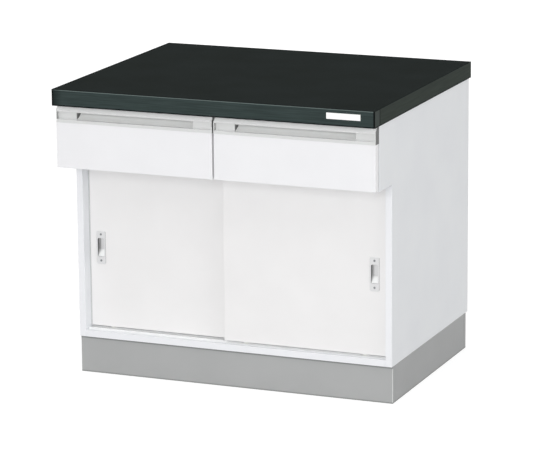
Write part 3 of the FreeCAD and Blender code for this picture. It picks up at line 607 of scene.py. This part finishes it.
def add_piece(name, mesh, finish, body):
    """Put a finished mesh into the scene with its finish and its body."""
    piece = bpy.data.objects.new(name, mesh)
    bpy.context.scene.collection.objects.link(piece)
    mesh.materials.append(finish)
    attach(piece, body)
    return piece


for side in ("left", "right"):
    low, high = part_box(f"door_pull_{side}")
    mesh = grid_mesh(f"flush_pull_{side}", pull_surface(low, high), closed=True)
    steel = brushed_steel(f"brushed_steel_{side}", low.y)
    pull = add_piece(f"flush_pull_{side}", mesh, steel, f"door_{side}")
    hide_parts(f"door_pull_{side}")


# Screws and pins: zinc plated steel. Small cross-headed screws hold the pulls, larger ones
# come up through the top rails into the worktop, and loose pins carry the shelf.
zinc_tones = ("8E9193", "A3A6A8")
zinc_roughness = (0.25, 0.45)
spangle_size = 0.003
screw_spacing = 0.072
screw_length = 0.011
head_radius = 0.003
head_height = 0.0013
rim_share = 0.3
dome_bulge = 0.98
shank_radius = 0.0014
cross_reach = 0.62
cross_width = 0.0007
cross_depth = 0.0007
dome_steps = 16
turn_steps = 64
worktop_screw_ease = 0.0008
pin_ease = 0.0004


def zinc_plated():
    """Zinc plated steel: a cool grey metal with a soft gloss and a faint bloom in patches."""
    made, tree, shader, place = new_material("zinc_plated_steel")
    bloom = add_node(tree, "TexNoise", {"Scale": 1 / spangle_size, "Detail": 3.0},
                     {"Vector": place})
    colour = add_node(tree, "Mix", {"data_type": "RGBA", 6: linear(zinc_tones[0]),
                                    7: linear(zinc_tones[1])}, {0: bloom.outputs["Fac"]})
    sheen = add_node(tree, "MapRange", {"To Min": zinc_roughness[0], "To Max": zinc_roughness[1]},
                     {"Value": bloom.outputs["Fac"]})
    shader.inputs["Metallic"].default_value = 1.0
    join_up(tree, shader, colour, sheen)
    return made


def screw_surface(place):
    """A pan-headed screw that points away from the viewer along Y, as rings about its axis.

    The head is part of a sphere with a low rim, the shank is plain and tapers to its tip. A
    cross is pressed into the head: two slots with soft edges that end short of the rim.
    """
    rim = head_height * rim_share
    spread = np.linspace(0, 1, dome_steps + 1)
    dome = -rim - (head_height - rim) * np.sqrt(1 - dome_bulge * spread ** 2)
    radius = np.concatenate([head_radius * spread, [head_radius, shank_radius, shank_radius, 0]])
    level = np.concatenate([dome, [0, 0, screw_length - 2 * shank_radius, screw_length]])
    angle = np.linspace(0, 2 * math.pi, turn_steps, endpoint=False)
    across = radius[:, None] * np.cos(angle)
    up = radius[:, None] * np.sin(angle)
    from_slot = cross_width / 2 - np.minimum(abs(across), abs(up))
    from_end = head_radius * cross_reach - np.hypot(across, up)
    pressed = np.clip(np.minimum(from_slot, from_end) / (cross_width / 3), 0, 1)
    on_head = (np.arange(radius.size) < spread.size)[:, None]
    points = np.stack([across, level[:, None] + cross_depth * pressed * on_head, up], axis=-1)
    return points + np.array(place)


zinc = zinc_plated()
for side in ("left", "right"):
    low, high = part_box(f"door_pull_{side}")
    middle = (low + high) / 2
    for spot, hand in (("upper", 1), ("lower", -1)):
        place = (middle.x, low.y, middle.z + hand * screw_spacing / 2)
        mesh = grid_mesh(f"pull_screw_{side}_{spot}", screw_surface(place), closed=True)
        screw = add_piece(f"pull_screw_{side}_{spot}", mesh, zinc, f"door_{side}")
        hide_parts(f"pull_screws_{side}")
dress(["worktop_screws", "shelf_pins"], zinc)
ease_edges(["worktop_screws"], worktop_screw_ease)
ease_edges(["shelf_pins"], pin_ease)


# Fittings of the doors: moulded nylon housings, rollers and top guides, pressed into the
# doors' edges. The drawers' wheels are moulded of the same nylon.
housings = ["roller_housings_left", "roller_housings_right", "door_guides_left",
            "door_guides_right"]
wheels = ["door_roller_left_outer", "door_roller_left_inner", "door_roller_right_outer",
          "door_roller_right_inner", "front_wheels_left", "front_wheels_right", "rear_wheels_left",
          "rear_wheels_right"]
nylon_tones = ("E4E4DF", "ECECE8")
nylon_roughness = (0.35, 0.5)
nylon_ior = 1.53
flow_size = 0.005
housing_ease = 0.0003


def moulded_nylon():
    """Moulded nylon: milky white, with faint flow marks and a soft satin gloss."""
    made, tree, shader, place = new_material("white_nylon")
    flow = add_node(tree, "TexNoise", {"Scale": 1 / flow_size, "Detail": 2.0}, {"Vector": place})
    colour = add_node(tree, "Mix", {"data_type": "RGBA", 6: linear(nylon_tones[0]),
                                    7: linear(nylon_tones[1])}, {0: flow.outputs["Fac"]})
    sheen = add_node(tree, "MapRange", {"To Min": nylon_roughness[0], "To Max": nylon_roughness[1]},
                     {"Value": flow.outputs["Fac"]})
    shader.inputs["IOR"].default_value = nylon_ior
    join_up(tree, shader, colour, sheen)
    return made


dress(housings + wheels, moulded_nylon())
ease_edges(housings, housing_ease)


# Drawer boxes and runners: sides and back of white board round a hardboard bottom, on folded
# steel runners with a white powder coat, one on the bench's wall and one on the box.
box_boards = ["drawer_sides_left", "drawer_sides_right", "drawer_back_left", "drawer_back_right"]
runners = ["cabinet_runners_left", "cabinet_runners_right", "drawer_runners_left",
           "drawer_runners_right"]
box_ease = 0.0006
coat_tones = ("E2E2E0", "E8E8E6")
coat_roughness = 0.35
peel_size = 0.0015
peel_height = 0.0001
runner_ease = 0.0002


def powder_coat():
    """Powder coated steel: an even white skin with a fine orange peel that ripples its gloss."""
    made, tree, shader, place = new_material("white_powder_coat")
    peel = add_node(tree, "TexNoise", {"Scale": 1 / peel_size, "Detail": 1.0}, {"Vector": place})
    colour = add_node(tree, "Mix", {"data_type": "RGBA", 6: linear(coat_tones[0]),
                                    7: linear(coat_tones[1])}, {0: peel.outputs["Fac"]})
    relief = add_node(tree, "Bump", {"Strength": 0.3, "Distance": peel_height},
                      {"Height": peel.outputs["Fac"]})
    shader.inputs["Roughness"].default_value = coat_roughness
    join_up(tree, shader, colour, relief=relief)
    return made


dress(box_boards, white_melamine)
ease_edges(box_boards, box_ease)
dress(["drawer_bottom_left", "drawer_bottom_right"], white_hardboard)
dress(runners, powder_coat())
ease_edges(runners, runner_ease)


# Drawer fronts: 22 mm board in white melamine, screwed on from inside the drawer. Their
# ends are painted a brighter white than the faces, as painted light.
drawer_fronts = ["drawer_front_left", "drawer_front_right"]
front_tones = ("DEDEE0", "E1E1E3")
front_roughness = 0.4
painted_end_light = "F4F4F5"


def front_melamine():
    """White melamine of the drawer fronts, painted brighter where a face looks sideways, as painted
    light.
    """
    made = melamine("white_melamine_front", front_tones, front_roughness)
    tree = made.node_tree
    sideways = add_node(tree, "Math", {"operation": "ABSOLUTE"}, {0: facing(tree)["X"]})
    on_end = add_node(tree, "Math", {"operation": "GREATER_THAN", 1: square_on},
                      {0: sideways.outputs[0]})
    lay_over(made, on_end.outputs[0], painted_end_light)
    return made


dress(drawer_fronts, front_melamine())
ease_edges(drawer_fronts, board_ease)


# Handle rails: aluminium, extruded and anodised as the tracks are but greyer, fixed along
# the top of each drawer front, with a window for the fingers.
handle_rails = ["handle_rail_left", "handle_rail_right"]
rail_tones = ("D0D1D1", "D7D8D7")
rail_metal = 0.5
rail_roughness = 0.5
rail_ease = 0.0004
dress(handle_rails,
      anodised_aluminium("anodised_aluminium_rail", rail_tones, rail_metal, rail_roughness))
ease_edges(handle_rails, rail_ease)


# Scoops and end caps of the handles: moulded grey plastic, with a silver foil pressed on
# the faces that look forward, up or down; the end faces are painted dark as painted shade,
# and each scoop is painted dark on its steep back and bright on its floor, as painted shade
# and painted light. The scoops sit behind the rails' windows, and the caps plug the rails' ends.
handle_caps = ["handle_caps_left", "handle_caps_right"]
foil_tones = ("DDDEDD", "E3E4E3")
foil_roughness = 0.5
foil_shine = 0.3
mottle_size = 0.004
painted_scoop_shade = "808181"
painted_scoop_light = "FAFBFA"
floor_turn = (0.4, 0.78)
rim_turn = (0.2, 0.1)
rim_light_share = 0.7
painted_end_shade = "6E6F6E"
end_shade_turn = (0.6, 0.8)
painted_inner_wall_shade = "B4B5B4"
end_margin = 0.001
cap_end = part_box("handle_caps_right")[1].x - end_margin
cap_ease = 0.0003
scoop_wall = 0.002
scoop_end_round = 0.004
scoop_bend = math.radians(27)
arc_steps = 24
level_steps = 8
end_steps = 12
end_power = 4


def foil_mottle(tree):
    """The faint mottle of the foil on a flat face, a few millimetres wide."""
    place = add_node(tree, "TexCoord").outputs["Object"]
    mottle = add_node(tree, "TexNoise", {"Scale": 1 / mottle_size, "Detail": 2.0},
                      {"Vector": place})
    return mottle.outputs["Fac"]


def scoop_light_and_shade(tree):
    """Share of painted light in a scoop: one on its floor, and nought on its steep back.

    The steep back takes the painted shade and the floor the painted light. The rim round the
    mouth, which stands upright, is painted nearly as bright as the floor.
    """
    upward = facing(tree)["Z"]
    slope = add_node(tree, "MapRange", {"From Min": floor_turn[0], "From Max": floor_turn[1]},
                     {"Value": upward})
    level = add_node(tree, "Math", {"operation": "ABSOLUTE"}, {0: upward})
    rim = add_node(tree, "MapRange", {"From Min": rim_turn[0], "From Max": rim_turn[1],
                                      "To Max": rim_light_share}, {"Value": level.outputs[0]})
    return add_node(tree, "Math", {"operation": "MAXIMUM"},
                    {0: slope.outputs["Result"], 1: rim.outputs["Result"]}).outputs[0]


def foiled_plastic(name, tones, pattern):
    """Moulded ABS with a hot pressed silver foil: satin silver, with end faces painted dark grey as
    painted shade.
    """
    made, tree, shader, _ = new_material(name)
    foil = add_node(tree, "Mix", {"data_type": "RGBA", 6: linear(tones[0]), 7: linear(tones[1])},
                    {0: pattern(tree)})
    shader.inputs["Roughness"].default_value = foil_roughness
    shader.inputs["Specular IOR Level"].default_value = foil_shine
    join_up(tree, shader, foil)
    # Painted shade on the faces that look endwise.
    endwise = add_node(tree, "Math", {"operation": "ABSOLUTE"}, {0: facing(tree)["X"]})
    bare = add_node(tree, "MapRange", {"From Min": end_shade_turn[0], "From Max": end_shade_turn[1]},
                    {"Value": endwise.outputs[0]})
    lay_over(made, bare.outputs["Result"], painted_end_shade)
    return made


def cap_plastic():
    """The caps' foiled plastic: the inner side walls take a lighter painted shade than the outer
    ends.
    """
    made = foiled_plastic("foiled_grey_plastic_cap", foil_tones, foil_mottle)
    tree = made.node_tree
    endwise = add_node(tree, "Math", {"operation": "ABSOLUTE"}, {0: facing(tree)["X"]})
    on_wall = add_node(tree, "Math", {"operation": "GREATER_THAN", 1: square_on},
                       {0: endwise.outputs[0]})
    spot = position(tree)
    across = add_node(tree, "Math", {"operation": "ABSOLUTE"}, {0: spot["X"]})
    within = add_node(tree, "Math", {"operation": "LESS_THAN", 1: cap_end}, {0: across.outputs[0]})
    inner = add_node(tree, "Math", {"operation": "MULTIPLY"},
                     {0: on_wall.outputs[0], 1: within.outputs[0]})
    lay_over(made, inner.outputs[0], painted_inner_wall_shade)
    return made


def scoop_surface(low, high):
    """The inside of a finger scoop, as a grid of points along it and round its section.

    The section starts at the lower lip and climbs to the back edge on an arc that bends as
    much below the straight line between them as above it, then runs level to the upper lip.
    Towards each end its depth is drawn in by a super-ellipse, so that the end wall stands
    square and meets the floor in a curve.
    """
    front, depth = low.y, high.y - scoop_wall - low.y
    bottom, mouth = low.z + scoop_wall, high.z - low.z - 2 * scoop_wall
    straight = math.atan2(mouth, depth)
    radius = math.hypot(depth, mouth) / (2 * math.sin(scoop_bend))
    slope = np.linspace(straight - scoop_bend, straight + scoop_bend, arc_steps)
    reach = np.concatenate([radius * (np.sin(slope) - np.sin(slope[0])),
                            np.linspace(depth, 0, level_steps + 1)[1:]])
    rise = np.concatenate([radius * (np.cos(slope[0]) - np.cos(slope)),
                           np.full(level_steps, mouth)])
    start, end = low.x + scoop_wall, high.x - scoop_wall
    near_end = scoop_end_round * np.linspace(0, 1, end_steps) ** 2
    along = np.concatenate([start + near_end, end - near_end[::-1]])
    inset = np.clip(np.minimum(along - start, end - along) / scoop_end_round, 0, 1)
    drawn_in = (1 - (1 - inset) ** end_power) ** (1 / end_power)
    points = np.empty((along.size, reach.size, 3))
    points[..., 0] = along[:, None]
    points[..., 1] = front + drawn_in[:, None] * reach[None, :]
    points[..., 2] = bottom + rise[None, :]
    return points


dress(handle_caps, cap_plastic())
ease_edges(handle_caps, cap_ease)
scoop_plastic = foiled_plastic("foiled_grey_plastic_scoop", (painted_scoop_shade, painted_scoop_light),
                               scoop_light_and_shade)
for side in ("left", "right"):
    low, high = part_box(f"handle_scoop_{side}")
    mesh = grid_mesh(f"finger_scoop_{side}", scoop_surface(low, high))
    scoop = add_piece(f"finger_scoop_{side}", mesh, scoop_plastic, f"drawer_{side}")
    wall = scoop.modifiers.new("wall", "SOLIDIFY")
    wall.thickness = scoop_wall
    wall.offset = 1
    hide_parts(f"handle_scoop_{side}")


# Worktop: a chipboard core with white paper pressed on below and a sheet of matt anthracite
# laminate on top, a laminate faced nosing along the front and thin bands on the other edges,
# all glued and trimmed flush.
nosing_low, nosing_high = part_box("worktop_nosing")
backing_tones = ("D8D8D6", "DEDEDC")
backing_roughness = 0.6
top_tones = ("141A18", "191F1E")
top_roughness = (0.75, 0.95)
# The nosing's and side bands' tones are the top's laminate made lighter, as painted light.
nosing_painted_light_tones = ("2E3736", "36403F")
nosing_painted_highlight = "768280"
side_painted_light_tones = ("2E3530", "343B36")
side_painted_highlight = "3A413F"
corner_tone = "424845"
edge_roughness = 0.6
glue_line_painted_shade_and_reflection = "0E1212"
laminate_shine = 0.04
stipple_size = 0.0025
stipple_height = 0.0002
streak_length = 0.09
streak_width = 0.0035
streak_height = 0.0002
streak_contrast = (0.35, 0.65)
arris_width = 0.0022
seam_width = 0.0045
foot_line = 0.003
left_shade_length = 0.03
left_shade_strength = 0.8
laminate_ease = 0.0004
nosing_ease = 0.0006


def top_laminate():
    """High pressure laminate: paper soaked in resin, cured against a matt stippled plate.

    It is a deep grey, close to black, that takes little shine even at a low angle. The real
    stipple is half a millimetre wide and is drawn coarser to show.
    """
    made, tree, shader, place = new_material("anthracite_laminate_top")
    cloud = add_node(tree, "TexNoise", {"Scale": 1 / cloud_size, "Detail": 4.0}, {"Vector": place})
    clouding = add_node(tree, "MapRange", {"From Min": cloud_contrast[0],
                                           "From Max": cloud_contrast[1]},
                        {"Value": cloud.outputs["Fac"]})
    colour = add_node(tree, "Mix", {"data_type": "RGBA", 6: linear(top_tones[0]),
                                    7: linear(top_tones[1])}, {0: clouding.outputs["Result"]})
    stipple = add_node(tree, "TexNoise", {"Scale": 1 / stipple_size, "Detail": 2.0},
                       {"Vector": place})
    sheen = add_node(tree, "MapRange", {"To Min": top_roughness[0], "To Max": top_roughness[1]},
                     {"Value": stipple.outputs["Fac"]})
    relief = add_node(tree, "Bump", {"Strength": 0.3, "Distance": stipple_height},
                      {"Height": stipple.outputs["Fac"]})
    shader.inputs["Specular IOR Level"].default_value = laminate_shine
    join_up(tree, shader, colour, sheen, relief)
    return made


def edge_laminate(name, along, tones, arris_highlight_tone):
    """Laminate on an edge: the same sheet with faint streaks along it from the sanding belt.

    Its tones are the top's laminate made lighter, as painted light on the edges. The streaks
    are really half a millimetre wide and are drawn coarser to show. A painted highlight runs
    along the top arris, but not at the left end of the front, which is painted dark as
    painted shade. A glue line shows where the nosing meets the side bands; the same dark
    tone is painted down the front corners as a painted reflection and along the lower edge
    as painted shade. These lines are really a few tenths of a millimetre wide and are drawn
    coarser to show.
    """
    made, tree, shader, place = new_material(name)
    stretch = [1 / streak_width] * 3
    stretch[along] = 1 / streak_length
    drawn = add_node(tree, "Mapping", {"Scale": stretch}, {"Vector": place})
    streaks = add_node(tree, "TexNoise", {"Scale": 1.0, "Detail": 3.0},
                       {"Vector": drawn.outputs["Vector"]})
    spread = add_node(tree, "MapRange", {"From Min": streak_contrast[0],
                                         "From Max": streak_contrast[1]},
                      {"Value": streaks.outputs["Fac"]})
    body = add_node(tree, "Mix", {"data_type": "RGBA", 6: linear(tones[0]), 7: linear(tones[1])},
                    {0: spread.outputs["Result"]})
    relief = add_node(tree, "Bump", {"Strength": 0.1, "Distance": streak_height},
                      {"Height": streaks.outputs["Fac"]})
    shader.inputs["Roughness"].default_value = edge_roughness
    shader.inputs["Specular IOR Level"].default_value = laminate_shine
    join_up(tree, shader, body, relief=relief)

    spot = position(tree)
    across = add_node(tree, "Math", {"operation": "ABSOLUTE"}, {0: spot["X"]})
    # Painted highlight along the top arris.
    arris = add_node(tree, "MapRange", {"From Min": nosing_high.z - arris_width,
                                        "From Max": nosing_high.z}, {"Value": spot["Z"]})
    lay_over(made, arris.outputs["Result"], arris_highlight_tone)
    before_seam = add_node(tree, "Math", {"operation": "LESS_THAN",
                                          1: nosing_high.y - seam_width / 2}, {0: spot["Y"]})
    at_end = add_node(tree, "Math", {"operation": "GREATER_THAN",
                                     1: nosing_high.x - seam_width / 4}, {0: across.outputs[0]})
    end = add_node(tree, "Math", {"operation": "MULTIPLY"},
                   {0: before_seam.outputs[0], 1: at_end.outputs[0]})
    lay_over(made, end.outputs[0], corner_tone)

    # Dark tone: a glue line at the seam, a painted reflection down the front corners, and painted
    # shade along the lower edge and at the left end of the front.
    in_front = add_node(tree, "Math", {"operation": "LESS_THAN", 1: nosing_low.y + arris_width / 2},
                        {0: spot["Y"]})
    at_corner = add_node(tree, "Math", {"operation": "GREATER_THAN", 1: nosing_high.x - seam_width},
                         {0: across.outputs[0]})
    corner = add_node(tree, "Math", {"operation": "MULTIPLY"},
                      {0: in_front.outputs[0], 1: at_corner.outputs[0]})
    from_seam = add_node(tree, "Math", {"operation": "SUBTRACT", 1: nosing_high.y}, {0: spot["Y"]})
    seam_reach = add_node(tree, "Math", {"operation": "ABSOLUTE"}, {0: from_seam.outputs[0]})
    seam = add_node(tree, "Math", {"operation": "LESS_THAN", 1: seam_width / 2},
                    {0: seam_reach.outputs[0]})
    corner_and_seam = add_node(tree, "Math", {"operation": "MAXIMUM"},
                      {0: corner.outputs[0], 1: seam.outputs[0]})
    low_edge = add_node(tree, "Math", {"operation": "LESS_THAN", 1: nosing_low.z + foot_line},
                        {0: spot["Z"]})
    lines = add_node(tree, "Math", {"operation": "MAXIMUM"},
                     {0: corner_and_seam.outputs[0], 1: low_edge.outputs[0]})
    left_end = add_node(tree, "MapRange", {"From Min": nosing_low.x + left_shade_length,
                                           "From Max": nosing_low.x, "To Max": left_shade_strength},
                        {"Value": spot["X"]})
    left_end_shade = add_node(tree, "Math", {"operation": "MULTIPLY"},
                     {0: left_end.outputs["Result"], 1: in_front.outputs[0]})
    darkened = add_node(tree, "Math", {"operation": "MAXIMUM"},
                        {0: lines.outputs[0], 1: left_end_shade.outputs[0]})
    lay_over(made, darkened.outputs[0], glue_line_painted_shade_and_reflection)
    return made


dress(["worktop_core"], melamine("backing_paper", backing_tones, backing_roughness))
dress(["worktop_laminate"], top_laminate())
dress(["worktop_nosing"],
      edge_laminate("anthracite_laminate_nosing", 0, nosing_painted_light_tones, nosing_painted_highlight))
dress(["worktop_edge_bands"],
      edge_laminate("anthracite_laminate_band", 1, side_painted_light_tones, side_painted_highlight))
ease_edges(["worktop_laminate"], laminate_ease)
ease_edges(["worktop_nosing", "worktop_edge_bands"], nosing_ease)


# Label plate: a thin bare plate of white plastic, let flush into the nosing near its right
# end and glued there. Its satin face is drawn as melamine is, a little brighter and glossier.
label_tones = ("EDEDEC", "F2F2F1")
label_roughness = 0.35
label_ease = 0.0003
dress(["label_plate"], melamine("white_plate_plastic", label_tones, label_roughness))
ease_edges(["label_plate"], label_ease)
